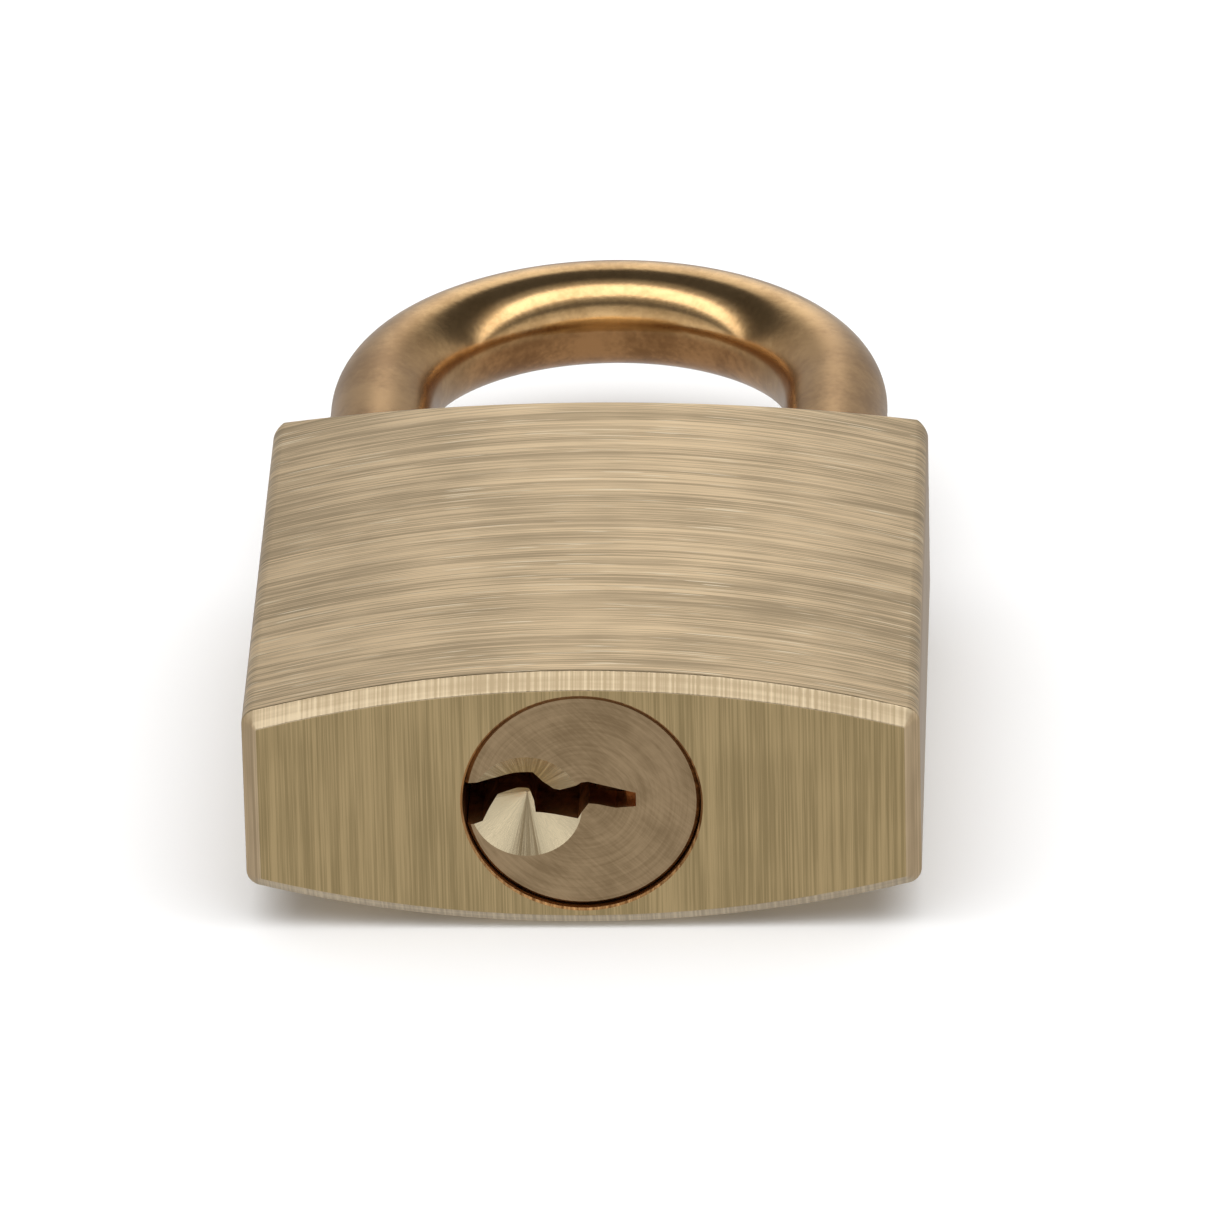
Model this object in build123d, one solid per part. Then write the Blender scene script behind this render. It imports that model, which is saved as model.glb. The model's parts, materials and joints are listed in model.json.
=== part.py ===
from build123d import *
import math
import os

# A solid-brass pin-tumbler padlock, modelled upright: x to the right, the face at -y,
# z from the keyway end up to the shackle.  Laying it on its back is the last step.
# All sizes are millimetres.

# ---- body ----
BODY_WIDTH = 40.0
BODY_HEIGHT = 39.0
BODY_THICKNESS = 16.8      # over the two crowned faces, at the middle
SIDE_THICKNESS = 11.3      # where the crowned faces meet the narrow sides
CORNER_RADIUS = 1.0        # upright corners
EDGE_CHAMFER = 0.9         # round the keyway end, and the two short top edges
TOP_FLAT = 11.0            # thickness of the flat top between its two 45 degree bevels
LEG_WALL = 2.67            # brass left outside each leg bore
EDGE_SOFTENING = 0.15      # radius that tumbling leaves on every outer edge
SHARP_ANGLE = 12.0         # degrees between two faces, above which an edge is softened
MOUTH_CHAMFER = 0.12       # on the mouths of the plug bore and the leg bores

# ---- shackle ----
ROD_DIAMETER = 6.5
STRAIGHT_ABOVE = 12.6      # straight leg showing above the body
TOE_FOOT = 2.25            # toe left below its latch notch
TOE_ROOM = 0.5             # empty bore below the toe
HEEL_FOOT = 0.87           # full-size heel left below its neck
LEG_CLEARANCE = 0.08       # round each leg, on the radius
SHACKLE_LIFT = 11.5        # travel when the lock pops open
NECK_DEPTH = 1.05          # of the turned neck that traps the heel
NECK_ROOM = 0.3            # neck above its pin while the lock is shut
LIFT_ROOM = 0.1            # neck below its pin while the lock is open
LEG_TIP_CHAMFER = 0.8
SHACKLE_SPRING_LENGTH = 9.0
SHACKLE_SPRING_CLEARANCE = 0.35
SHACKLE_SPRING_WIRE = 0.8
SHACKLE_SPRING_TURNS = 5

# ---- latches ----
LATCH_DEPTH = 6.0          # axis of the latch bore below the top
LATCH_DIAMETER = 6.9
LATCH_CLEARANCE = 0.08
LATCH_TRAVEL = 2.2
LATCH_TONGUE = 4.0         # height of the nose that enters the leg
NOSE_BEVEL = 1.8           # side of the square block that cuts the nose's bevel
LATCH_BITE = 1.95          # how far a thrown nose reaches into the leg
NOTCH_CLEARANCE = 0.25
LATCH_BACK_ROOM = 1.9      # from a turned lug to the back of a drawn latch
ARM_RISE = 0.85            # from the latch axis up to the arms
HOOK_THICKNESS = 1.5
HOOK_ROOM = 0.25           # over the plug's tail, and over its lugs
LATCH_PLUG_LENGTH = 2.2
LATCH_SPRING_DIAMETER = 1.5
LATCH_SPRING_WIRE = 0.25
LATCH_SPRING_HOLE = 4.0    # depth of the blind hole that holds it
LATCH_SPRING_Y = 1.2       # beside the plug's axis
LATCH_SPRING_TURNS = 8

# ---- plug ----
BORE_DIAMETER = 14.1
PLUG_CLEARANCE = 0.075
PLUG_RECESS = 0.4
PLUG_PAST_PINS = 3.8       # from the last pin's axis to the end of the plug
PLUG_EDGE_CHAMFER = 0.2
TAIL_DIAMETER = 6.5
TAIL_BELOW_LATCH = 1.5     # from the end of the tail up to the latch axis
LUG_RADIUS = 2.2           # from the plug's axis to each lug's axis
LUG_DIAMETER = 1.8
COUNTERSINK_RADIUS = 3.3
COUNTERSINK_RIM = 0.375    # brass left between the countersink and the plug's rim
COUNTERSINK_Y = 0.4
COUNTERSINK_POINT = 118.0  # included angle
COUNTERSINK_TIP = 0.08     # radius of the drill's blunt point
KEYWAY_PAST_PINS = 1.1     # from the last pin's axis to the end of the keyway

# ---- pins ----
PIN_COUNT = 5
FIRST_PIN = 3.9            # first pin's axis above the keyway end
PIN_DIAMETER = 2.8
PIN_CLEARANCE = 0.1        # round each pin, on the radius
KEY_LIFTS = [0.8, 1.8, 0.3, 1.3, 2.3]  # how far the right key pushes each key pin
KEY_PIN_TIP_STOP = 0.9     # x of a key pin's tip when there is no key
KEY_PIN_TIP_LENGTH = 1.0
KEY_PIN_TIP_DEPTH = 0.8
CHAMBER_PAST_TIP = 0.1
DRIVER_LENGTH = 3.5
DRIVER_BREAK = 0.25        # chamfer on both ends of a driver pin
DRIVER_SPRING_CLEARANCE = 0.15
DRIVER_SPRING_WIRE = 0.35
DRIVER_SPRING_TURNS = 7
CHAMBER_PLUG_STEP = 0.15   # a chamber plug is this much wider than the chamber, on the radius
CHAMBER_PLUG_LENGTH = 2.4
CHAMBER_PLUG_WALL = 0.4    # brass left between two chamber plugs

# ---- cross pins ----
HEEL_PIN_DIAMETER = 2.2
PLUG_PIN_DIAMETER = 1.3
HEEL_PIN_WALL = 0.8        # brass left between the heel pin and the latch bore
GROOVE_WIDTH = 1.5
GROOVE_DEPTH = 1.0
GROOVE_BELOW_TOP = 1.2     # from the end of the plug down to the groove's middle
CROSS_PIN_DEPTH = 12.4     # how deep the cross pins go in from the back
CROSS_PIN_BREAK = 0.15     # chamfer on a cross pin's inner end

GAP = 0.05                 # clearance between sliding faces that meet
OVERCUT = 1.0              # how far a cutter runs past what it cuts

HALF_W = BODY_WIDTH / 2
HALF_T = BODY_THICKNESS / 2
ROD_R = ROD_DIAMETER / 2
LEG_BORE_R = ROD_R + LEG_CLEARANCE
LEG_X = HALF_W - LEG_WALL - LEG_BORE_R
BEND_Z = BODY_HEIGHT + STRAIGHT_ABOVE
SHACKLE_TOP = BEND_Z + LEG_X + ROD_R
BORE_R = BORE_DIAMETER / 2
PLUG_R = BORE_R - PLUG_CLEARANCE
LATCH_HEIGHT = BODY_HEIGHT - LATCH_DEPTH
LATCH_R = LATCH_DIAMETER / 2
LATCH_BORE_DIAMETER = LATCH_DIAMETER + 2 * LATCH_CLEARANCE
LUG_R = LUG_DIAMETER / 2
LEG_INNER_X = LEG_X - ROD_R
LATCH_NOSE_X = LEG_INNER_X + LATCH_BITE - LATCH_TRAVEL
LATCH_BACK_X = LUG_RADIUS + LUG_R + LATCH_BACK_ROOM
HOOK_FACE_X = -(LUG_R + 2 * GAP) - LATCH_TRAVEL
HOOK_END_X = HOOK_FACE_X - HOOK_THICKNESS
ARM_FLOOR_Z = LATCH_HEIGHT + ARM_RISE
TAIL_TOP = LATCH_HEIGHT - TAIL_BELOW_LATCH
LATCH_SPRING_Z = ARM_FLOOR_Z + LATCH_SPRING_DIAMETER / 2 + 4 * GAP
NOTCH_FLOOR_X = LEG_INNER_X + LATCH_BITE + NOTCH_CLEARANCE
NOTCH_HALF = LATCH_TONGUE / 2 + NOTCH_CLEARANCE
TOE_END_Z = LATCH_HEIGHT - NOTCH_HALF - TOE_FOOT
HEEL_PIN_R = HEEL_PIN_DIAMETER / 2
HEEL_PIN_Z = LATCH_HEIGHT - LATCH_BORE_DIAMETER / 2 - HEEL_PIN_R - HEEL_PIN_WALL
NECK_R = ROD_R - NECK_DEPTH
NECK_TOP = HEEL_PIN_Z + HEEL_PIN_R + NECK_ROOM
NECK_BOTTOM = HEEL_PIN_Z - HEEL_PIN_R - SHACKLE_LIFT - LIFT_ROOM
HEEL_END_Z = NECK_BOTTOM - HEEL_FOOT
SHACKLE_SPRING_DIAMETER = ROD_DIAMETER - 2 * SHACKLE_SPRING_CLEARANCE
SPRING_FLOOR_Z = HEEL_END_Z - SHACKLE_SPRING_LENGTH
CHAMBER_DIAMETER = PIN_DIAMETER + 2 * PIN_CLEARANCE
CHAMBER_PLUG_DIAMETER = CHAMBER_DIAMETER + 2 * CHAMBER_PLUG_STEP
PIN_PITCH = CHAMBER_PLUG_DIAMETER + CHAMBER_PLUG_WALL
DRIVER_SPRING_DIAMETER = PIN_DIAMETER - 2 * DRIVER_SPRING_CLEARANCE
LAST_PIN = FIRST_PIN + PIN_PITCH * (PIN_COUNT - 1)
PLUG_TOP = LAST_PIN + PLUG_PAST_PINS
KEYWAY_TOP = LAST_PIN + KEYWAY_PAST_PINS
COUNTERSINK_X = -(PLUG_R - COUNTERSINK_RIM - COUNTERSINK_RADIUS)
PLUG_PIN_R = PLUG_PIN_DIAMETER / 2
GROOVE_Z = PLUG_TOP - GROOVE_BELOW_TOP
GROOVE_R = PLUG_R - GROOVE_DEPTH
CROSS_PIN_FAR_Y = HALF_T - CROSS_PIN_DEPTH
CHAMBER_SHOULDER_X = HALF_W - CHAMBER_PLUG_LENGTH
DRIVER_IN_X = BORE_R + GAP
DRIVER_OUT_X = DRIVER_IN_X + DRIVER_LENGTH
KEY_PIN_OUT_X = math.sqrt(PLUG_R**2 - (PIN_DIAMETER / 2) ** 2)


def pin_z(index):
    """Height of one pin chamber's axis."""
    return FIRST_PIN + PIN_PITCH * index


def along_x(x_low, x_high, diameter, z, y=0.0):
    """A round bar along x."""
    middle = (x_low + x_high) / 2
    return Pos(middle, y, z) * Rot(0, 90, 0) * Cylinder(diameter / 2, x_high - x_low)


def along_y(y_low, y_high, diameter, x, z):
    """A round bar along y."""
    middle = (y_low + y_high) / 2
    return Pos(x, middle, z) * Rot(90, 0, 0) * Cylinder(diameter / 2, y_high - y_low)


def along_z(z_low, z_high, diameter, x=0.0, y=0.0):
    """A round bar along z."""
    return Pos(x, y, (z_low + z_high) / 2) * Cylinder(diameter / 2, z_high - z_low)


def block(low, high):
    """A box between two corners."""
    size = [high[i] - low[i] for i in range(3)]
    middle = [(high[i] + low[i]) / 2 for i in range(3)]
    return Pos(*middle) * Box(*size)


def coil(radius, wire, length, turns):
    """A compression spring standing on the origin: round wire wound on a helix."""
    rise = length - wire
    line = Helix(pitch=rise / turns, height=rise, radius=radius)
    start = Plane(origin=line @ 0, z_dir=line % 0)
    spring = sweep(start * Circle(wire / 2), path=line, is_frenet=True)
    return Pos(0, 0, wire / 2) * spring


def body_block():
    """The crowned bar, with its chamfers and bevels, before anything is drilled."""
    side_y = SIDE_THICKNESS / 2
    front = ThreePointArc((-HALF_W, -side_y), (0, -HALF_T), (HALF_W, -side_y))
    right = Line((HALF_W, -side_y), (HALF_W, side_y))
    back = ThreePointArc((HALF_W, side_y), (0, HALF_T), (-HALF_W, side_y))
    left = Line((-HALF_W, side_y), (-HALF_W, -side_y))
    section = make_face([front, right, back, left])
    section = fillet(section.vertices(), CORNER_RADIUS)
    bar = extrude(section, BODY_HEIGHT)
    bar = chamfer(bar.faces().sort_by(Axis.Z)[0].edges(), EDGE_CHAMFER)
    front_and_back = roof(HALF_T, TOP_FLAT / 2)
    bar &= extrude(Plane.YZ * front_and_back, HALF_W + OVERCUT, both=True)
    ends = roof(HALF_W, HALF_W - EDGE_CHAMFER)
    bar &= extrude(Plane.XZ * ends, HALF_T + OVERCUT, both=True)
    return fillet(sharp_edges(bar), EDGE_SOFTENING)


def sharp_edges(solid):
    """The edges of a solid whose two faces meet at a clear angle."""
    sharp = []
    for edge in solid.edges():
        sides = [face for face in solid.faces() if any(edge.is_same(e) for e in face.edges())]
        normals = [face.normal_at(edge @ 0.5) for face in sides]
        if normals[0].get_angle(normals[-1]) > SHARP_ANGLE:
            sharp.append(edge)
    return sharp


def roof(half_width, half_flat):
    """A section with a flat top and a 45 degree slope each side, wider than the body."""
    wide = half_width + OVERCUT
    eaves = BODY_HEIGHT - (wide - half_flat)
    points = [(-wide, 0), (wide, 0), (wide, eaves), (half_flat, BODY_HEIGHT),
              (-half_flat, BODY_HEIGHT), (-wide, eaves)]
    return make_face(Polyline(*points, close=True))


def body():
    """The drilled body: one plug bore, two leg bores, a latch bore and the pin chambers."""
    part = body_block()
    past_side = HALF_W + OVERCUT
    past_back = HALF_T + OVERCUT
    past_top = BODY_HEIGHT + OVERCUT
    part -= along_z(-OVERCUT, PLUG_TOP + GAP, BORE_DIAMETER)
    part -= along_z(PLUG_TOP, LATCH_HEIGHT, TAIL_DIAMETER + 2 * PLUG_CLEARANCE)
    part -= along_z(SPRING_FLOOR_Z, past_top, 2 * LEG_BORE_R, -LEG_X)
    part -= along_z(TOE_END_Z - TOE_ROOM, past_top, 2 * LEG_BORE_R, LEG_X)
    part -= along_x(-LEG_X, past_side, LATCH_BORE_DIAMETER, LATCH_HEIGHT)
    for i in range(PIN_COUNT):
        part -= along_x(0, HALF_W, CHAMBER_DIAMETER, pin_z(i))
        part -= along_x(CHAMBER_SHOULDER_X, past_side, CHAMBER_PLUG_DIAMETER, pin_z(i))
    part -= along_y(CROSS_PIN_FAR_Y, past_back, HEEL_PIN_DIAMETER, heel_pin_x(), HEEL_PIN_Z)
    part -= along_y(CROSS_PIN_FAR_Y, past_back, PLUG_PIN_DIAMETER, plug_pin_x(), GROOVE_Z)
    mouths = part.faces().sort_by(Axis.Z)
    circles = mouths[0].edges().filter_by(GeomType.CIRCLE) + mouths[-1].edges().filter_by(GeomType.CIRCLE)
    return chamfer([edge for edge in circles if edge.is_closed], MOUTH_CHAMFER)


def heel_pin_x():
    """The heel pin lies against the turned neck, on its inner side."""
    return -LEG_X + NECK_R + HEEL_PIN_R + GAP


def plug_pin_x():
    """The plug pin lies in the plug's groove, beside its axis."""
    return -(GROOVE_R + PLUG_PIN_R + GAP)


def shackle():
    """A bent round bar: a short toe, a long heel with a turned neck, and two latch notches."""
    bend = Pos(LEG_X, 0, BEND_Z) * Circle(ROD_R)
    arch = revolve(bend, Axis((0, 0, BEND_Z), (0, -1, 0)), 180)
    toe = along_z(TOE_END_Z, BEND_Z, ROD_DIAMETER, LEG_X)
    heel = along_z(HEEL_END_Z, BEND_Z, ROD_DIAMETER, -LEG_X)
    toe = chamfer(toe.edges().group_by(Axis.Z)[0], LEG_TIP_CHAMFER)
    heel = chamfer(heel.edges().group_by(Axis.Z)[0], LEG_TIP_CHAMFER)
    neck = along_z(NECK_BOTTOM, NECK_TOP, ROD_DIAMETER + OVERCUT, -LEG_X)
    neck -= along_z(NECK_BOTTOM, NECK_TOP, 2 * NECK_R, -LEG_X)
    bar = arch + toe + heel - neck
    low = (0, -ROD_DIAMETER, LATCH_HEIGHT - NOTCH_HALF)
    high = (NOTCH_FLOOR_X, ROD_DIAMETER, LATCH_HEIGHT + NOTCH_HALF)
    notch = block(low, high)
    return bar - notch - Rot(0, 0, 180) * notch


def latch():
    """The toe's latch, drawn back: a round slug with a bevelled nose, and a hooked arm."""
    slug = along_x(LATCH_BACK_X, LATCH_NOSE_X, LATCH_DIAMETER, LATCH_HEIGHT)
    shoulder = LEG_INNER_X - LATCH_TRAVEL - 2 * GAP
    half = LATCH_TONGUE / 2
    far = HALF_W
    slug -= block((shoulder, -far, LATCH_HEIGHT + half), (far, far, LATCH_HEIGHT + far))
    slug -= block((shoulder, -far, LATCH_HEIGHT - far), (far, far, LATCH_HEIGHT - half))
    bevel = Pos(LATCH_NOSE_X, 0, LATCH_HEIGHT + half) * Rot(0, 45, 0) * Box(NOSE_BEVEL, far, NOSE_BEVEL)
    slug -= bevel
    arm_end = (LATCH_BACK_X + OVERCUT, LATCH_R, LATCH_HEIGHT + LATCH_R)
    arm = block((HOOK_END_X, 3 * GAP, ARM_FLOOR_Z), arm_end)
    hook_floor = TAIL_TOP + HOOK_ROOM
    hook = block((HOOK_END_X, -LUG_R, hook_floor), (HOOK_FACE_X, LATCH_R, ARM_FLOOR_Z - 2 * GAP))
    hook += block((HOOK_END_X, 3 * GAP, hook_floor), (HOOK_FACE_X, LATCH_R, ARM_FLOOR_Z))
    reach = along_x(HOOK_END_X - OVERCUT, far, LATCH_DIAMETER, LATCH_HEIGHT)
    piece = slug + ((arm + hook) & reach)
    hole_start = LATCH_BACK_X - OVERCUT
    hole_end = LATCH_BACK_X + LATCH_SPRING_HOLE
    hole_width = LATCH_SPRING_DIAMETER + 4 * GAP
    return piece - along_x(hole_start, hole_end, hole_width, LATCH_SPRING_Z, -LATCH_SPRING_Y)


def latch_spring():
    """A small spring from the bottom of one latch's blind hole to the other latch's arm."""
    start = -HOOK_END_X + GAP
    length = LATCH_BACK_X + LATCH_SPRING_HOLE - GAP - start
    radius = (LATCH_SPRING_DIAMETER - LATCH_SPRING_WIRE) / 2
    spring = coil(radius, LATCH_SPRING_WIRE, length, LATCH_SPRING_TURNS)
    return Pos(start, -LATCH_SPRING_Y, LATCH_SPRING_Z) * Rot(0, 90, 0) * spring


def keyway():
    """The warded keyway: a zig-zag slot, open at the plug's left rim, narrow towards the pins."""
    rim = -BORE_R - OVERCUT
    upper = [(rim, -1.1), (-5.0, -1.3), (-4.0, -1.45), (-2.9, -1.45), (-2.35, -0.7), (-1.7, -0.3),
             (-1.3, -0.35), (-0.9, -0.6), (0.0, -1.2), (0.4, -1.25), (3.2, -0.5)]
    lower = [(3.2, 0.4), (2.0, 0.5), (0.9, 0.25), (0.4, 0.2), (0.0, 0.75), (-0.25, 1.25),
             (-2.8, 1.45), (-2.9, 0.85), (-3.2, 0.15), (-3.85, -0.05), (-5.0, 0.05), (-5.5, 0.8),
             (-5.9, 1.5), (rim, 1.7)]
    outline = Polyline(*upper, *lower, close=True)
    return extrude(make_face(outline), KEYWAY_TOP)


def plug():
    """The plug: countersunk face, keyway, pin chambers, retaining groove, tail and two lugs."""
    core = along_z(PLUG_RECESS, PLUG_TOP, 2 * PLUG_R)
    core = chamfer(core.edges().group_by(Axis.Z)[0], PLUG_EDGE_CHAMFER)
    core += along_z(PLUG_TOP, TAIL_TOP, TAIL_DIAMETER)
    for side in (1, -1):
        core += along_z(TAIL_TOP, ARM_FLOOR_Z - HOOK_ROOM, LUG_DIAMETER, 0, side * LUG_RADIUS)
    groove_low = GROOVE_Z - GROOVE_WIDTH / 2
    groove_high = GROOVE_Z + GROOVE_WIDTH / 2
    ring = along_z(groove_low, groove_high, BORE_DIAMETER + OVERCUT)
    core -= ring - along_z(groove_low, groove_high, 2 * GROOVE_R)
    core -= keyway()
    for i in range(PIN_COUNT):
        core -= along_x(KEY_PIN_TIP_STOP - CHAMBER_PAST_TIP, BORE_R, CHAMBER_DIAMETER, pin_z(i))
    cone_width = COUNTERSINK_RADIUS - COUNTERSINK_TIP
    depth = cone_width / math.tan(math.radians(COUNTERSINK_POINT / 2))
    sink = Pos(0, 0, depth / 2) * Cone(COUNTERSINK_RADIUS, COUNTERSINK_TIP, depth)
    sink += along_z(-OVERCUT, 0, 2 * COUNTERSINK_RADIUS)
    return core - Pos(COUNTERSINK_X, COUNTERSINK_Y, PLUG_RECESS) * sink


def key_pin(index):
    """A key pin held at the shear line, as the right key holds it, with a pointed tip."""
    tip_x = KEY_PIN_TIP_STOP + KEY_LIFTS[index]
    bar = along_x(tip_x, KEY_PIN_OUT_X, PIN_DIAMETER, pin_z(index))
    tip = bar.edges().filter_by(GeomType.CIRCLE).sort_by(Axis.X)[0]
    return chamfer(tip, KEY_PIN_TIP_DEPTH, KEY_PIN_TIP_LENGTH)


def driver_pin(index):
    """A driver pin just outside the shear line."""
    bar = along_x(DRIVER_IN_X, DRIVER_OUT_X, PIN_DIAMETER, pin_z(index))
    return chamfer(bar.edges().filter_by(GeomType.CIRCLE), DRIVER_BREAK)


def driver_spring(index):
    """The spring between a driver pin and its chamber plug."""
    length = CHAMBER_SHOULDER_X - DRIVER_OUT_X - 2 * GAP
    radius = (DRIVER_SPRING_DIAMETER - DRIVER_SPRING_WIRE) / 2
    spring = coil(radius, DRIVER_SPRING_WIRE, length, DRIVER_SPRING_TURNS)
    return Pos(DRIVER_OUT_X + GAP, 0, pin_z(index)) * Rot(0, 90, 0) * spring


def chamber_plug(index):
    """The brass slug pressed into the mouth of a pin chamber and finished flush."""
    return along_x(CHAMBER_SHOULDER_X, HALF_W, CHAMBER_PLUG_DIAMETER, pin_z(index))


def latch_bore_plug():
    """The brass slug that closes the latch bore, flush with the narrow side."""
    return along_x(HALF_W - LATCH_PLUG_LENGTH, HALF_W, LATCH_BORE_DIAMETER, LATCH_HEIGHT)


def cross_pin(diameter, x, z):
    """A pin driven in from the back and ground flush with the crowned face."""
    bar = along_y(CROSS_PIN_FAR_Y, HALF_T + OVERCUT, diameter, x, z)
    inner_end = bar.edges().filter_by(GeomType.CIRCLE).sort_by(Axis.Y)[0]
    return chamfer(inner_end, CROSS_PIN_BREAK) & body_block()


def shackle_spring():
    """The spring under the heel, squeezed while the lock is shut."""
    radius = (SHACKLE_SPRING_DIAMETER - SHACKLE_SPRING_WIRE) / 2
    length = SHACKLE_SPRING_LENGTH - 2 * GAP
    spring = coil(radius, SHACKLE_SPRING_WIRE, length, SHACKLE_SPRING_TURNS)
    return Pos(-LEG_X, 0, SPRING_FLOOR_Z + GAP) * spring


def all_pieces():
    """Every piece by name, in the upright frame."""
    pieces = {
        "body": body(),
        "shackle": shackle(),
        "plug": plug(),
        "latch_toe": latch(),
        "latch_heel": Rot(0, 0, 180) * latch(),
        "latch_spring_rear": latch_spring(),
        "latch_spring_front": Rot(0, 0, 180) * latch_spring(),
        "shackle_spring": shackle_spring(),
        "heel_retaining_pin": cross_pin(HEEL_PIN_DIAMETER, heel_pin_x(), HEEL_PIN_Z),
        "plug_retaining_pin": cross_pin(PLUG_PIN_DIAMETER, plug_pin_x(), GROOVE_Z),
        "latch_bore_plug": latch_bore_plug(),
    }
    for i in range(PIN_COUNT):
        pieces[f"key_pin_{i + 1}"] = key_pin(i)
        pieces[f"driver_pin_{i + 1}"] = driver_pin(i)
        pieces[f"driver_spring_{i + 1}"] = driver_spring(i)
        pieces[f"chamber_plug_{i + 1}"] = chamber_plug(i)
    return pieces


def lay_down(piece):
    """Upright frame to row frame: on its back, shackle towards +Y, centred over the origin."""
    return Pos(0, -SHACKLE_TOP / 2, HALF_T) * Rot(-90, 0, 0) * piece


os.makedirs("parts", exist_ok=True)
for name, piece in all_pieces().items():
    export_step(lay_down(piece), f"parts/{name}.step")
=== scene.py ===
# %% [markdown]
# # A brass padlock with a round shackle
# The lock lies on its back. Its keyway end faces the viewer and its shackle points away.
# The construction model brings every piece at its real size. This lesson gives each piece
# the finish that its maker left on it, and works out the bent shackle as a smooth surface.

# %% The frame
import json
import math

import bpy
import numpy as np
from mathutils import Matrix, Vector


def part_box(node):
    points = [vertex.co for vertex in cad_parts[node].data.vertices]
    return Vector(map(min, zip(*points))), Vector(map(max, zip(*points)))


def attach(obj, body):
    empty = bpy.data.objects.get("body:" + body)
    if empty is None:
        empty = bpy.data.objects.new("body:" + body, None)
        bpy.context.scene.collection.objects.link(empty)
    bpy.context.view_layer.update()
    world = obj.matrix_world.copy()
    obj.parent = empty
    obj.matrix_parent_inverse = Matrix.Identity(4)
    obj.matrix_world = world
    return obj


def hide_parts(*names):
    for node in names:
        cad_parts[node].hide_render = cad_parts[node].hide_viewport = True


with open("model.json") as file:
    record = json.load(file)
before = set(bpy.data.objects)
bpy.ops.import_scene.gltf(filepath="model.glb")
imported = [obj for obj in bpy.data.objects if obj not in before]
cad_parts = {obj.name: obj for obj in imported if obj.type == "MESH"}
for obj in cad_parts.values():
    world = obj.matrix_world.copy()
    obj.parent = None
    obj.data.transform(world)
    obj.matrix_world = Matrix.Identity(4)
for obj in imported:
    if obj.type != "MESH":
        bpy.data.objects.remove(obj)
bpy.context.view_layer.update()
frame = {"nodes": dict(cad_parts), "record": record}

MM = 0.001
print("pieces from the frame:", len(frame["nodes"]))

# %% [markdown]
# ## Measures
# The body is a bar of brass with two crowned faces. Everything that the finishes need to
# know, such as where the plug's axis lies, comes from the corners of the pieces themselves.
# Typing the numbers in again would work too, but they would drift apart from the model.

# %% Measures taken from the pieces
body_low, body_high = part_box("body")
_, plug_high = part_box("plug")
bar_low, bar_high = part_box("shackle")

MID_Z = (body_low.z + body_high.z) / 2
END_Y = body_low.y
PLUG_R = plug_high.x
ROD_R = (bar_high.z - bar_low.z) / 2
LEG_X = bar_high.x - ROD_R
BEND_Y = bar_high.y - ROD_R - LEG_X
print("body", [round(v / MM, 2) for v in body_high - body_low], "mm")
print("rod radius", round(ROD_R / MM, 3), "mm, legs at", round(LEG_X / MM, 2), "mm")

# %% [markdown]
# ## The shackle's surface
# The real one is a drawn rod, bent round a former and polished. It could be a curve with a
# round bevel, but the notches for the latches and the heel's neck need rings of their own.
# So it is one grid: rings of points carried along the rod's middle line. A ring is a circle
# whose radius depends on where it is, and in a notch its inner side is cut off flat.

# %% Sizes of the shackle's working features
NECK_R = ROD_R - 1.05 * MM
NECK_SPAN = (END_Y + 14.87 * MM, END_Y + 28.97 * MM)
NOTCH_SPAN = (END_Y + 30.75 * MM, END_Y + 35.25 * MM)
NOTCH_FLOOR = 1.05 * MM     # from the leg's axis to the flat floor of its notch
TIP_CHAMFER = 0.8 * MM
HEEL_END_Y = bar_low.y
TOE_END_Y = END_Y + 28.5 * MM
AROUND = 144
ROW_SPACING = 0.5 * MM
STEP = 0.005 * MM           # half the width of a step between two radii
ARCH_ROWS = 160


# %% Rows along a leg
def leg_rows(end_y, steps):
    """Places along a straight leg: evenly spaced, and one row on each side of every step."""
    even = np.arange(end_y, BEND_Y, ROW_SPACING)
    pairs = np.array([[s - STEP, s + STEP] for s in steps]).ravel()
    return np.unique(np.concatenate([[end_y], even, pairs]))


def leg_radius(y, end_y, neck):
    """The rod's radius, less a 45 degree chamfer at the tip, or the neck's radius in its span."""
    radius = ROD_R - np.clip(end_y + TIP_CHAMFER - y, 0.0, TIP_CHAMFER)
    in_neck = (y > neck[0]) & (y < neck[1])
    return np.where(in_neck, NECK_R, radius)


heel_y = leg_rows(HEEL_END_Y, [*NECK_SPAN, *NOTCH_SPAN, HEEL_END_Y + TIP_CHAMFER])
toe_y = leg_rows(TOE_END_Y, [*NOTCH_SPAN, TOE_END_Y + TIP_CHAMFER])[::-1]
no_neck = (0.0, 0.0)
heel_r = leg_radius(heel_y, HEEL_END_Y, NECK_SPAN)
toe_r = leg_radius(toe_y, TOE_END_Y, no_neck)
print("rows on the heel", len(heel_y), "and on the toe", len(toe_y))

# %% The rod's middle line, from the heel round the bend to the toe
turn = np.linspace(math.pi, 0.0, ARCH_ROWS)
middle_x = np.concatenate([np.full(len(heel_y), -LEG_X), LEG_X * np.cos(turn),
                           np.full(len(toe_y), LEG_X)])
middle_y = np.concatenate([heel_y, BEND_Y + LEG_X * np.sin(turn), toe_y])
outward_x = np.concatenate([np.full(len(heel_y), -1.0), np.cos(turn), np.full(len(toe_y), 1.0)])
outward_y = np.concatenate([np.zeros(len(heel_y)), np.sin(turn), np.zeros(len(toe_y))])
radius = np.concatenate([heel_r, np.full(ARCH_ROWS, ROD_R), toe_r])
on_leg = np.concatenate([np.ones(len(heel_y)), np.zeros(ARCH_ROWS), np.ones(len(toe_y))])
in_notch = (on_leg > 0) & (middle_y > NOTCH_SPAN[0]) & (middle_y < NOTCH_SPAN[1])
print("rings", len(radius), "of which in a notch", int(in_notch.sum()))

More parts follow.
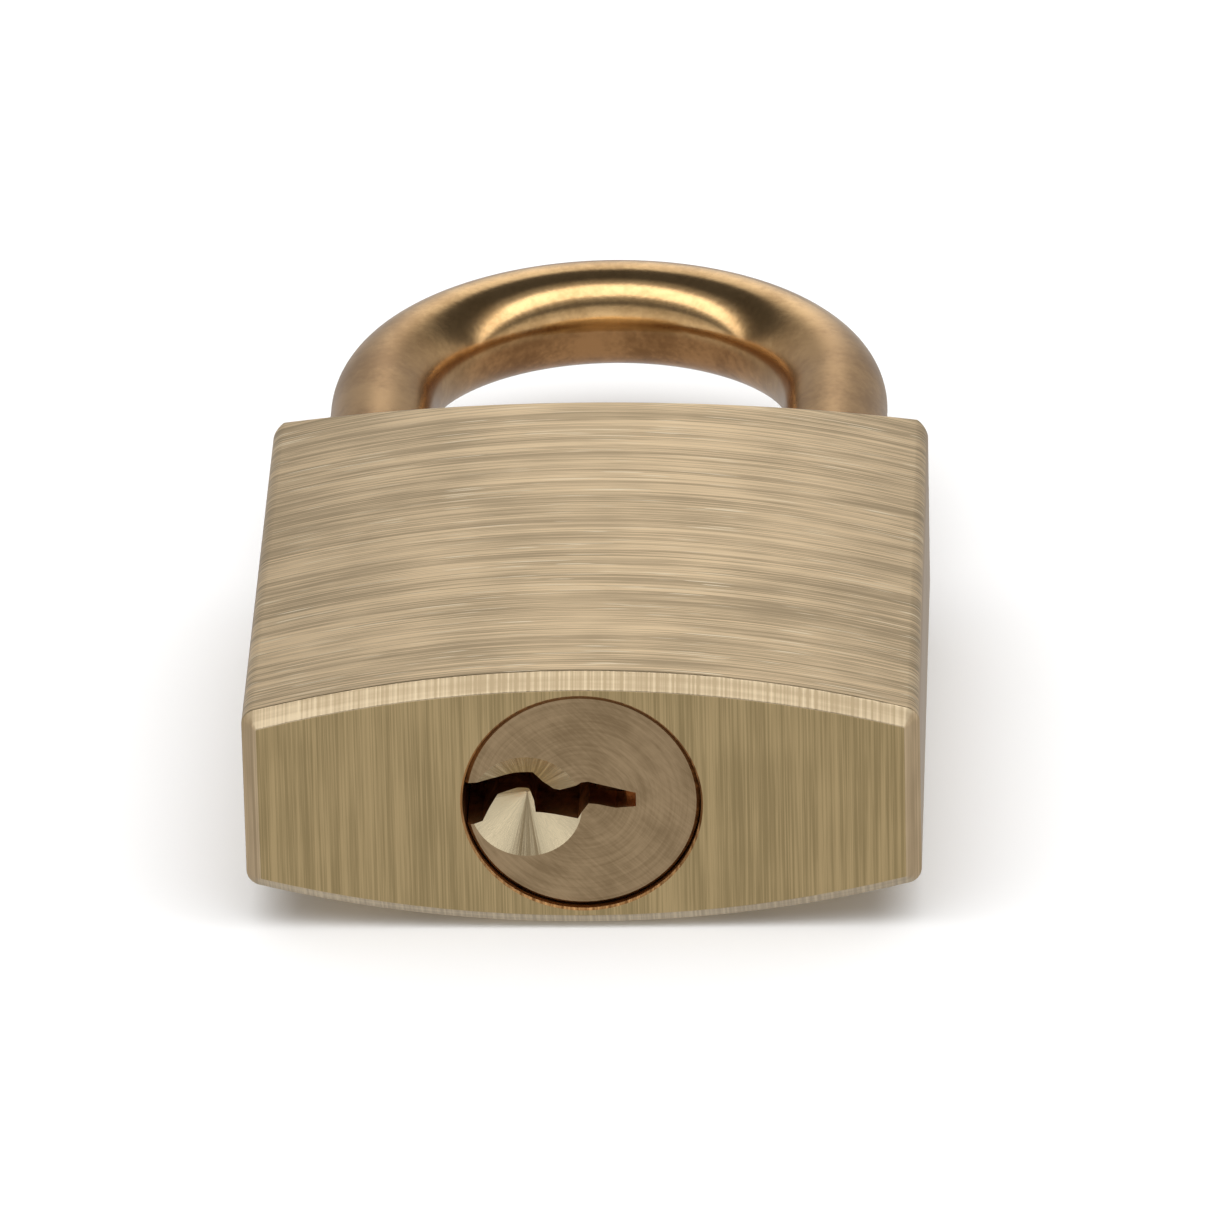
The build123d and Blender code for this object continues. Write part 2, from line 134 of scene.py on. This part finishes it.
# %% [markdown]
# A polished rod is never a perfect cylinder. The buffing wheel leaves it a hundredth of a
# millimetre low here and there, and that is what makes its reflections wander. The grid is
# lowered by slow waves along and around the rod, and never raised, so it keeps its size.

# %% The grid of points
POLISH_LOSS = 0.009 * MM


def polish(along, around):
    """How far a point is polished down: the mean of three slow waves, each from 0 to 1."""
    first = 0.5 + 0.5 * np.sin(along / (2.1 * MM) + 2.0 * around)
    second = 0.5 + 0.5 * np.sin(along / (3.7 * MM) - around + 1.3)
    third = 0.5 + 0.5 * np.sin(along / (6.1 * MM) + 3.0 * around + 4.0)
    return POLISH_LOSS * (first + second + third) / 3


def rod_points():
    """Each ring: middle + outward * (r cos a) + up * (r sin a), its inner side cut in a notch."""
    steps = np.hypot(np.diff(middle_x), np.diff(middle_y))
    along = np.concatenate([[0.0], np.cumsum(steps)])[:, None]
    around = np.linspace(0.0, 2 * math.pi, AROUND, endpoint=False)[None, :]
    r = radius[:, None] - polish(along, around)
    sideways = r * np.cos(around)
    floor = np.where(in_notch, -NOTCH_FLOOR, -1.0)[:, None]
    sideways = np.maximum(sideways, floor)
    x = middle_x[:, None] + outward_x[:, None] * sideways
    y = middle_y[:, None] + outward_y[:, None] * sideways
    z = MID_Z + r * np.sin(around)
    return np.stack([x, y, z], axis=-1)


bar_grid = rod_points()
print("points on the shackle", bar_grid.shape)


# %% From a grid to a closed mesh
def closed_tube(name, grid):
    """A grid of rings becomes quads between rings, and a fan to a middle point at each end."""
    rows, columns, _ = grid.shape
    row, column = np.meshgrid(np.arange(rows - 1), np.arange(columns), indexing="ij")
    here = row * columns + column
    beside = row * columns + (column + 1) % columns
    quads = np.stack([here, here + columns, beside + columns, beside], axis=-1).reshape(-1, 4)
    first, last = rows * columns, rows * columns + 1
    ring = np.arange(columns)
    after = (ring + 1) % columns
    start_fan = np.stack([np.full(columns, first), ring, after], axis=-1)
    top = (rows - 1) * columns
    end_fan = np.stack([np.full(columns, last), top + after, top + ring], axis=-1)
    points = np.concatenate([grid.reshape(-1, 3), [grid[0].mean(axis=0), grid[-1].mean(axis=0)]])
    mesh = bpy.data.meshes.new(name)
    mesh.from_pydata(points.tolist(), [], quads.tolist() + start_fan.tolist() + end_fan.tolist())
    mesh.polygons.foreach_set("use_smooth", np.ones(len(mesh.polygons), dtype=bool))
    mesh.set_sharp_from_angle(angle=math.radians(30))
    piece = bpy.data.objects.new(name, mesh)
    bpy.context.scene.collection.objects.link(piece)
    return piece


def volume(piece):
    """Signed volume: the sum of each face fan's determinants over six. Outward faces give plus."""
    mesh = piece.data
    mesh.calc_loop_triangles()
    corners = np.empty(len(mesh.loop_triangles) * 3, dtype=np.int32)
    mesh.loop_triangles.foreach_get("vertices", corners)
    places = np.empty(len(mesh.vertices) * 3, dtype=np.float32)
    mesh.vertices.foreach_get("co", places)
    a, b, c = places.reshape(-1, 3)[corners.reshape(-1, 3)].transpose(1, 0, 2).astype(float)
    return float(np.einsum("ij,ij->i", a, np.cross(b, c)).sum() / 6)


shackle_bar = closed_tube("shackle_bar", bar_grid)
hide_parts("shackle")
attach(shackle_bar, "shackle")
print("shackle volume", round(volume(shackle_bar) / MM**3, 1), "cubic mm")

# %% [markdown]
# ## Tools for the finishes
# A metal finish is colour, roughness and fine relief that change together over the surface.
# Nodes can be wired by hand in the editor, and short helpers do the same here, so that each
# finish below reads as a recipe. Every pattern is worked out from the point's own place.

# %% Helpers that wire nodes
def new_metal(name):
    """A material with one metal shader, and its node tree."""
    material = bpy.data.materials.new(name)
    material.use_nodes = True
    tree = material.node_tree
    tree.nodes.clear()
    output = tree.nodes.new("ShaderNodeOutputMaterial")
    shader = tree.nodes.new("ShaderNodeBsdfPrincipled")
    shader.inputs["Metallic"].default_value = 1.0
    tree.links.new(shader.outputs["BSDF"], output.inputs["Surface"])
    return material, tree, shader


def put(tree, socket, value):
    """Links an output to a socket, or sets the socket to a plain value."""
    if isinstance(value, bpy.types.NodeSocket):
        tree.links.new(value, socket)
    else:
        socket.default_value = value


def maths(tree, operation, a, b=0.0):
    node = tree.nodes.new("ShaderNodeMath")
    node.operation = operation
    put(tree, node.inputs[0], a)
    put(tree, node.inputs[1], b)
    return node.outputs[0]


def times(tree, a, b):
    return maths(tree, "MULTIPLY", a, b)


def vector(tree, x, y, z):
    node = tree.nodes.new("ShaderNodeCombineXYZ")
    for socket, value in zip(node.inputs, (x, y, z)):
        put(tree, socket, value)
    return node.outputs[0]


def squeezed(tree, place, scales):
    """A place whose parts are each scaled, so that a noise read there is squeezed that much."""
    return vector(tree, *[times(tree, part, scale) for part, scale in zip(place, scales)])


def parts(tree, output_name):
    """The three parts of the point's own place, or of its normal."""
    source = tree.nodes.new("ShaderNodeTexCoord")
    split = tree.nodes.new("ShaderNodeSeparateXYZ")
    tree.links.new(source.outputs[output_name], split.inputs[0])
    return split.outputs


def between(tree, value, low, high):
    """0 below low, 1 above high, and a smooth rise between. It falls if low is over high."""
    node = tree.nodes.new("ShaderNodeMapRange")
    node.interpolation_type = "SMOOTHSTEP"
    put(tree, node.inputs["Value"], value)
    node.inputs["From Min"].default_value = low
    node.inputs["From Max"].default_value = high
    return node.outputs[0]


def scaled(tree, value, low, high):
    """Carries a value from 0 to 1 onto low to high."""
    return maths(tree, "ADD", times(tree, value, high - low), low)


def noise(tree, place, detail=3.0, roughness=0.6):
    node = tree.nodes.new("ShaderNodeTexNoise")
    node.inputs["Scale"].default_value = 1.0
    node.inputs["Detail"].default_value = detail
    node.inputs["Roughness"].default_value = roughness
    put(tree, node.inputs["Vector"], place)
    return node.outputs["Fac"]


def even_noise(tree, place, blobs, detail=3.0):
    """Noise that runs no particular way, with this many blobs to the metre."""
    return noise(tree, squeezed(tree, place, (blobs, blobs, blobs)), detail)


def mixed(tree, factor, a, b):
    """A colour, or a number, that goes from a to b with factor."""
    node = tree.nodes.new("ShaderNodeMix")
    colours = a.type == "RGBA" if isinstance(a, bpy.types.NodeSocket) else not isinstance(a, float)
    node.data_type = "RGBA" if colours else "FLOAT"
    first, second, result = (6, 7, 2) if colours else (2, 3, 0)
    put(tree, node.inputs[0], factor)
    put(tree, node.inputs[first], a)
    put(tree, node.inputs[second], b)
    return node.outputs[result]


def relief(tree, shader, height, depth):
    """Fine relief: height from 0 to 1 stands for this depth in metres."""
    node = tree.nodes.new("ShaderNodeBump")
    node.inputs["Strength"].default_value = 1.0
    node.inputs["Distance"].default_value = depth
    put(tree, node.inputs["Height"], height)
    tree.links.new(node.outputs[0], shader.inputs["Normal"])


def colour(r, g, b):
    return (r, g, b, 1.0)


# %% [markdown]
# ## The body's brushed brass
# The body is sawn from a bar and each side is drawn over a belt, so the scratches run along
# the width on the crowned faces, through the thickness on the keyway end, and along the
# height on the narrow sides. The chamfer round the keyway end is milled and carries fine
# cutter marks. One noise, stretched a hundredfold along the belt's way, makes each grain,
# and the point's normal chooses which grain it gets. On a crowned face the height changes
# from point to point, and would break every line, so only a small share of it is used.

# %% Grain helpers
FINE = 7500.0               # lines to the metre across the grain
BROAD = 1700.0
ALONG = 70.0                # and along it
DRIFT = 0.05                # share of the height that is used on the crowned faces


def grain(tree, x, y, z, way):
    """Fine and broad lines that run along one axis: the noise is squeezed on the other two."""
    fine_scales = [ALONG if axis == way else FINE for axis in "xyz"]
    broad_scales = [ALONG / 2 if axis == way else BROAD for axis in "xyz"]
    fine = noise(tree, squeezed(tree, (x, y, z), fine_scales), 4.0, 0.7)
    broad = noise(tree, squeezed(tree, (x, y, z), broad_scales), 3.0, 0.6)
    return fine, broad


def polar(tree, x, z, centre_x, centre_z):
    """Distance from an axis along y, and the direction to it as two parts of length one."""
    across = maths(tree, "SUBTRACT", x, centre_x)
    up = maths(tree, "SUBTRACT", z, centre_z)
    squares = maths(tree, "ADD", maths(tree, "POWER", across, 2.0), maths(tree, "POWER", up, 2.0))
    distance = maths(tree, "SQRT", squares)
    safe = maths(tree, "MAXIMUM", distance, 1e-6)
    return distance, maths(tree, "DIVIDE", across, safe), maths(tree, "DIVIDE", up, safe)


def weighted(tree, choices):
    """The sum of each value times its weight."""
    total = 0.0
    for value, weight in choices:
        total = maths(tree, "ADD", total, times(tree, value, weight))
    return total


# %% The body's material
# The tone ranges differ from face to face partly as painted light and shade: each was set to how
# bright that face comes out under this sky, on top of the brass's own finish.
FACE_TONE = (colour(0.44, 0.325, 0.185), colour(0.92, 0.70, 0.43))
END_TONE = (colour(0.50, 0.37, 0.18), colour(0.76, 0.565, 0.29))
SIDE_TONE = (colour(0.50, 0.34, 0.19), colour(0.60, 0.43, 0.25))
# The chamfers' tones are also raised to offset the dark contact shade that the chamfer along the
# table reflects: painted light.
CHAMFER_TONE = (colour(0.56, 0.43, 0.265), colour(0.86, 0.70, 0.47))
SIDE_CHAMFER_TONE = (colour(0.56, 0.41, 0.245), colour(0.88, 0.67, 0.42))
# Painted shade: the bore's walls round the plug are made dark, as the gap between plug and body lies
# in shade.
BORE_WALL_SHADE_TONE = (colour(0.20, 0.09, 0.03), colour(0.62, 0.34, 0.14))
SCRATCH_TONE = colour(0.98, 0.84, 0.60)
BORE_EDGE_R = PLUG_R + 0.45 * MM    # inside this radius, and less deep than this,
BORE_DEPTH = 24.0 * MM              # the metal belongs to the plug's bore
CUTTER_MARKS = 4200.0               # marks to the metre along the milled chamfer
SCRATCH_SCALES = (190.0, 7600.0, 7600.0)
CLOUDS = 130.0


def brushed_body():
    """Five finishes by where a point faces: crowned face, top, keyway end, side and chamfer."""
    material, tree, shader = new_metal("brushed_body_brass")
    x, y, z = parts(tree, "Object")
    nx, ny, _ = parts(tree, "Normal")
    to_end = times(tree, ny, -1.0)
    to_side = maths(tree, "ABSOLUTE", nx)
    side = between(tree, to_side, 0.85, 0.97)
    end = between(tree, to_end, 0.9, 0.97)
    chamfer = times(tree, between(tree, to_end, 0.35, 0.5), between(tree, to_end, 0.93, 0.85))
    top = between(tree, ny, 0.75, 0.9)

    low_z = times(tree, z, DRIFT)
    face_fine, face_broad = grain(tree, x, y, low_z, "x")
    top_fine, top_broad = grain(tree, x, 0.0, z, "x")
    end_fine, end_broad = grain(tree, x, y, z, "z")
    side_fine, side_broad = grain(tree, x, y, z, "y")
    marks = noise(tree, vector(tree, times(tree, x, CUTTER_MARKS), 0.0, 0.0), 2.0, 0.5)
    fine = mixed(tree, side, mixed(tree, top, face_fine, top_fine), side_fine)
    fine = mixed(tree, chamfer, mixed(tree, end, fine, end_fine), marks)
    broad = mixed(tree, side, mixed(tree, top, face_broad, top_broad), side_broad)
    broad = mixed(tree, end, broad, end_broad)
    cloud = even_noise(tree, (x, y, z), CLOUDS, 2.0)
    tone = weighted(tree, [(fine, 0.55), (broad, 0.3), (cloud, 0.15)])
    tone = between(tree, tone, 0.40, 0.60)

    scratches = noise(tree, squeezed(tree, (x, y, low_z), SCRATCH_SCALES), 1.0, 0.5)
    scratch = times(tree, between(tree, scratches, 0.67, 0.73), between(tree, top, 0.5, 0.0))
    distance, _, _ = polar(tree, x, z, 0.0, MID_Z)
    near_axis = between(tree, distance, BORE_EDGE_R * 1.02, BORE_EDGE_R)
    near_end = between(tree, y, END_Y + BORE_DEPTH, END_Y + 0.95 * BORE_DEPTH)
    in_bore = times(tree, times(tree, near_axis, near_end), between(tree, to_end, 0.97, 0.9))
    beside = between(tree, to_side, 0.3, 0.6)

    # Each face's tone, picked by the way it faces, is partly painted light and shade.
    face_colour = mixed(tree, scratch, mixed(tree, tone, *FACE_TONE), SCRATCH_TONE)
    chamfer_colour = mixed(tree, beside, mixed(tree, tone, *CHAMFER_TONE),
                           mixed(tree, tone, *SIDE_CHAMFER_TONE))
    base = mixed(tree, side, face_colour, mixed(tree, tone, *SIDE_TONE))
    base = mixed(tree, end, base, mixed(tree, tone, *END_TONE))
    base = mixed(tree, chamfer, base, chamfer_colour)
    # Painted shade on the walls of the plug's bore.
    base = mixed(tree, in_bore, base, mixed(tree, tone, *BORE_WALL_SHADE_TONE))
    tree.links.new(base, shader.inputs["Base Color"])
    put(tree, shader.inputs["Roughness"], scaled(tree, fine, 0.26, 0.42))
    relief(tree, shader, weighted(tree, [(fine, 0.7), (broad, 0.3)]), 0.006 * MM)
    return material


body_brass = brushed_body()
print("body finish:", len(body_brass.node_tree.nodes), "nodes")

# %% [markdown]
# ## The plug's turned brass
# The plug's face is turned on a lathe and rubbed for years by keys, so it is duller and
# browner than the body, with faint rings round its axis and stray scratches. The countersink
# beside the axis is freshly cut: it is bright, with streaks that run down to its point, and
# its lower sides carry a painted highlight. The keyway is broached and coppery, and its walls
# are painted brighter, as painted light that reaches into the slot. The way a point faces,
# and its distance from the countersink's axis, tell the three apart.

# %% The plug's material
SINK_R = 3.3 * MM
SINK_X = -(PLUG_R - 0.375 * MM - SINK_R)
SINK_Z = MID_Z - 0.4 * MM
PLUG_TONE = (colour(0.38, 0.26, 0.14), colour(0.60, 0.43, 0.25))
SINK_TONE = (colour(0.42, 0.31, 0.17), colour(0.99, 0.83, 0.55))
# Painted light: the keyway's tone is raised to stand in for light that reaches into the slot, on top
# of the walls' own coppery colour.
KEYWAY_COPPER_AND_PAINTED_LIGHT = (colour(0.40, 0.15, 0.05), colour(0.98, 0.52, 0.21))
RINGS = 5200.0              # rings to the metre outwards from the plug's axis
HAIRS = 3800.0              # scratches to the metre across their own way
HAIR_LENGTHS = 240.0
BLOTCHES = 420.0
RAY_SCALES = (22.0, 160.0, 22.0)


def turned_plug():
    material, tree, shader = new_metal("turned_plug_brass")
    x, y, z = parts(tree, "Object")
    _, ny, _ = parts(tree, "Normal")
    facing_end = times(tree, ny, -1.0)

    distance, across, up = polar(tree, x, z, 0.0, MID_Z)
    rings = noise(tree, vector(tree, times(tree, distance, RINGS), across, up), 3.0)
    diagonal = times(tree, maths(tree, "ADD", x, z), HAIRS)
    lengthwise = times(tree, maths(tree, "SUBTRACT", z, x), HAIR_LENGTHS)
    hairs = noise(tree, vector(tree, diagonal, 0.0, lengthwise), 3.0, 0.7)
    blotch = even_noise(tree, (x, y, z), BLOTCHES, 4.0)
    face_tone = between(tree, weighted(tree, [(rings, 0.3), (hairs, 0.3), (blotch, 0.4)]), 0.35, 0.65)

    sink_distance, sink_across, sink_up = polar(tree, x, z, SINK_X, SINK_Z)
    rays = noise(tree, squeezed(tree, (sink_across, sink_distance, sink_up), RAY_SCALES), 5.0, 0.75)
    sector = between(tree, maths(tree, "ABSOLUTE", sink_across), 0.16, 0.42)
    # Painted highlight: the countersink's lower sides, away from its middle, are made brighter.
    painted_sink_highlight = times(tree, sector, between(tree, sink_up, 0.25, -0.15))
    sink_tone = between(tree, weighted(tree, [(rays, 0.7), (painted_sink_highlight, 0.3)]), 0.24, 0.58)
    in_sink = times(tree, between(tree, facing_end, 0.97, 0.93),
                    between(tree, sink_distance, SINK_R * 1.02, SINK_R))
    wall = between(tree, facing_end, 0.4, 0.2)

    base = mixed(tree, face_tone, *PLUG_TONE)
    base = mixed(tree, in_sink, base, mixed(tree, sink_tone, *SINK_TONE))
    # Painted light on the keyway's walls.
    base = mixed(tree, wall, base, mixed(tree, between(tree, blotch, 0.3, 0.7), *KEYWAY_COPPER_AND_PAINTED_LIGHT))
    tree.links.new(base, shader.inputs["Base Color"])
    rough = mixed(tree, in_sink, scaled(tree, blotch, 0.32, 0.5), 0.2)
    put(tree, shader.inputs["Roughness"], mixed(tree, wall, rough, 0.4))
    height = mixed(tree, in_sink, weighted(tree, [(rings, 0.5), (hairs, 0.5)]), rays)
    relief(tree, shader, height, 0.02 * MM)
    return material


plug_brass = turned_plug()
print("plug finish:", len(plug_brass.node_tree.nodes), "nodes")

# %% [markdown]
# ## The shackle's polished brass
# The bend is buffed bright. The legs rub in their bores and are duller, and their darker tone
# is partly painted reflection of the room. The inner side of the bend, where the wheel can't
# reach, is brown, and darker still as painted reflection of the lock's body and the surface
# below it. Over all of it the tarnish is a slow cloud that shifts the colour towards bronze
# and roughens the bend where it is thick.

# %% The shackle's material
SHACKLE_TONE = (colour(0.62, 0.385, 0.17), colour(0.86, 0.56, 0.265))
# The legs' tone and the inner bend's tone are partly painted reflection: darker tones by place stand
# in for the darker room that these parts reflect.
LEG_WEAR_AND_REFLECTION_TONE = (colour(0.40, 0.235, 0.105), colour(0.54, 0.335, 0.155))
INNER_BROWN_AND_REFLECTION_TONE = (colour(0.30, 0.145, 0.055), colour(0.54, 0.28, 0.115))
TARNISH = 260.0             # clouds to the metre
SPECKS = 2600.0


def polished_rod():
    material, tree, shader = new_metal("polished_rod_brass")
    x, y, z = parts(tree, "Object")
    _, ny, nz = parts(tree, "Normal")
    cloud = even_noise(tree, (x, y, z), TARNISH)
    speck = even_noise(tree, (x, y, z), SPECKS, 2.0)
    tone = between(tree, weighted(tree, [(cloud, 0.75), (speck, 0.25)]), 0.35, 0.65)
    # Partly painted reflection: the side of the bend that faces the lock's body, and the legs, take
    # darker tones for what they reflect, besides their own brown and wear.
    inner = times(tree, between(tree, ny, -0.25, -0.75), between(tree, nz, 0.3, 0.0))
    leg = between(tree, y, BEND_Y + 0.8 * LEG_X, BEND_Y + 0.1 * LEG_X)
    bright = mixed(tree, leg, mixed(tree, tone, *SHACKLE_TONE), mixed(tree, tone, *LEG_WEAR_AND_REFLECTION_TONE))
    base = mixed(tree, inner, bright, mixed(tree, tone, *INNER_BROWN_AND_REFLECTION_TONE))
    tree.links.new(base, shader.inputs["Base Color"])
    rough = mixed(tree, leg, scaled(tree, cloud, 0.24, 0.08), 0.27)
    put(tree, shader.inputs["Roughness"], rough)
    relief(tree, shader, weighted(tree, [(cloud, 0.8), (speck, 0.2)]), 0.02 * MM)
    return material


rod_brass = polished_rod()
shackle_bar.data.materials.append(rod_brass)
print("shackle finish:", len(rod_brass.node_tree.nodes), "nodes")

# %% [markdown]
# ## The small parts inside
# Pins, latches and press-fit slugs come off an automatic lathe with fine rings round their
# own axis, which here lies along x for all of them but the two cross pins. Springs are
# drawn steel wire. One recipe with a colour, a roughness and a ring spacing serves them all.

# %% Turned and drawn small parts
def turned_metal(name, dark, light, rough, spacing):
    material, tree, shader = new_metal(name)
    place = tuple(parts(tree, "Object"))
    rings = noise(tree, squeezed(tree, place, spacing), 3.0)
    cloud = even_noise(tree, place, 500.0)
    tone = between(tree, weighted(tree, [(rings, 0.6), (cloud, 0.4)]), 0.3, 0.7)
    tree.links.new(mixed(tree, tone, dark, light), shader.inputs["Base Color"])
    put(tree, shader.inputs["Roughness"], scaled(tree, rings, rough - 0.05, rough + 0.08))
    relief(tree, shader, rings, 0.01 * MM)
    return material


pin_brass = turned_metal("turned_pin_brass", colour(0.66, 0.48, 0.24), colour(0.86, 0.67, 0.38),
                         0.25, (7000.0, 200.0, 200.0))
cross_steel = turned_metal("ground_pin_steel", colour(0.42, 0.41, 0.40), colour(0.62, 0.61, 0.6),
                           0.28, (200.0, 200.0, 5200.0))
wire_steel = turned_metal("drawn_wire_steel", colour(0.5, 0.5, 0.5), colour(0.72, 0.72, 0.73),
                          0.2, (900.0, 900.0, 900.0))
slug_brass = turned_metal("ground_slug_brass", *SIDE_TONE, 0.3, (70.0, 70.0, 6500.0))
print("small part finishes:", len([pin_brass, cross_steel, wire_steel, slug_brass]))

# %% Each piece gets its finish
FINISH_OF_SLOT = {
    "satin_brass": slug_brass,
    "plug_brass": plug_brass,
    "pin_brass": pin_brass,
    "spring_steel": wire_steel,
    "pin_steel": cross_steel,
    "polished_brass": rod_brass,
}
slot_of_node = {row["node"]: row["material_slot"] for row in frame["record"]["subparts"]}


def give(piece, finish):
    for slot in piece.material_slots:
        slot.material = finish


for node_name, piece in frame["nodes"].items():
    give(piece, FINISH_OF_SLOT[slot_of_node[node_name]])
give(frame["nodes"]["body"], body_brass)
print("finished pieces:", len(frame["nodes"]))

# %% [markdown]
# ## Studio
# Polished metal shows the room more than itself. The room here is a soft sky, brightest a
# little to the near side of overhead and dark just beyond it, which puts one bright and one
# dark band along the bend. It is grey at the far horizon, and brighter straight behind the
# lock, which makes the soft glow on the crowned face. The table and its lamp stay out of
# reflections, so that the sky alone decides what the metal shows.

# %% Table
TABLE_HALF = 3.0


def table():
    mesh = bpy.data.meshes.new("table")
    corners = [(-TABLE_HALF, -TABLE_HALF, 0.0), (TABLE_HALF, -TABLE_HALF, 0.0),
               (TABLE_HALF, TABLE_HALF, 0.0), (-TABLE_HALF, TABLE_HALF, 0.0)]
    mesh.from_pydata(corners, [], [(0, 1, 2, 3)])
    top = bpy.data.objects.new("table", mesh)
    bpy.context.scene.collection.objects.link(top)
    material, tree, shader = new_metal("white_card")
    shader.inputs["Metallic"].default_value = 0.0
    shader.inputs["Roughness"].default_value = 0.9
    shader.inputs["Base Color"].default_value = colour(0.9, 0.9, 0.9)
    mesh.materials.append(material)
    top.visible_glossy = False
    return top


table()
print("table:", 2 * TABLE_HALF, "m square")

# %% Sky
SKY = [(0.0, 0.5), (0.1, 0.8), (0.19, 0.5), (0.25, 0.1), (0.32, 0.3), (0.37, 1.8),
       (0.46, 2.0), (0.53, 0.3), (0.60, 0.06), (0.73, 0.07), (0.79, 0.5), (0.87, 0.6), (1.0, 0.45)]
BEHIND_GAIN = 0.85          # how much brighter the far sky is straight behind the lock


def sky():
    """Brightness by the angle from the near horizon, over the top, to the far horizon."""
    world = bpy.data.worlds.new("sky")
    world.use_nodes = True
    tree = world.node_tree
    tree.nodes.clear()
    x, y, z = parts(tree, "Generated")
    angle = maths(tree, "ARCTAN2", z, times(tree, y, -1.0))
    share = maths(tree, "DIVIDE", angle, math.pi)
    ramp = tree.nodes.new("ShaderNodeValToRGB")
    ramp.color_ramp.interpolation = "EASE"
    stops = ramp.color_ramp.elements
    for _ in range(len(SKY) - len(stops)):
        stops.new(0.5)
    brightest = max(level for _, level in SKY)
    for stop, (place, level) in zip(stops, SKY):
        stop.position = place
    for stop, (place, level) in zip(stops, SKY):
        stop.color = colour(*[level / brightest] * 3)
    tree.links.new(share, ramp.inputs["Fac"])
    background = tree.nodes.new("ShaderNodeBackground")
    behind = times(tree, between(tree, maths(tree, "ABSOLUTE", x), 0.34, 0.0),
                   between(tree, share, 0.7, 0.8))
    gain = scaled(tree, behind, 1.0, 1.0 + BEHIND_GAIN)
    put(tree, background.inputs["Strength"], times(tree, gain, brightest))
    tree.links.new(ramp.outputs["Color"], background.inputs["Color"])
    output = tree.nodes.new("ShaderNodeOutputWorld")
    tree.links.new(background.outputs[0], output.inputs["Surface"])
    return world


bpy.context.scene.world = sky()
print("sky:", len(SKY), "stops")

# %% Lamp
LAMP_HEIGHT = 0.8
LAMP_SIZE = 1.6
LAMP_POWER = 9.5


def table_lamp():
    data = bpy.data.lights.new("table_lamp", "AREA")
    data.size = LAMP_SIZE
    data.energy = LAMP_POWER
    lamp = bpy.data.objects.new("table_lamp", data)
    lamp.location = (0.0, 0.0, LAMP_HEIGHT)
    lamp.visible_glossy = False
    bpy.context.scene.collection.objects.link(lamp)
    return lamp


table_lamp()
print("lamp:", LAMP_HEIGHT, "m above the table")

# %% [markdown]
# ## Camera
# A long lens from about 0.9 metres flattens the lock a little. The camera stands on the
# keyway's side, 0.43 metres above the table, looks down at 27 degrees, and is tipped by a
# degree, as a camera held by hand is.

# %% Camera
CAMERA_PLACE = np.array([35.75, -828.36, 432.13]) * MM
CAMERA_DOWN = math.radians(27.33)
CAMERA_LEFT = math.radians(2.45)
CAMERA_ROLL = math.radians(-1.366)
LENS = 452.8


def camera():
    """The three axes of the view: right and up are turned by the roll about the way it looks."""
    look = np.array([-math.sin(CAMERA_LEFT) * math.cos(CAMERA_DOWN),
                     math.cos(CAMERA_LEFT) * math.cos(CAMERA_DOWN), -math.sin(CAMERA_DOWN)])
    level = np.array([math.cos(CAMERA_LEFT), math.sin(CAMERA_LEFT), 0.0])
    rise = np.cross(level, look)
    right = math.cos(CAMERA_ROLL) * level + math.sin(CAMERA_ROLL) * rise
    up = math.cos(CAMERA_ROLL) * rise - math.sin(CAMERA_ROLL) * level
    data = bpy.data.cameras.new("camera")
    data.lens = LENS
    eye = bpy.data.objects.new("camera", data)
    bpy.context.scene.collection.objects.link(eye)
    matrix = np.eye(4)
    matrix[:3, 0], matrix[:3, 1], matrix[:3, 2], matrix[:3, 3] = right, up, -look, CAMERA_PLACE
    eye.matrix_world = Matrix(matrix.tolist())
    return eye


bpy.context.scene.camera = camera()
bpy.context.scene.view_settings.view_transform = "Standard"
print("lens:", LENS, "mm")
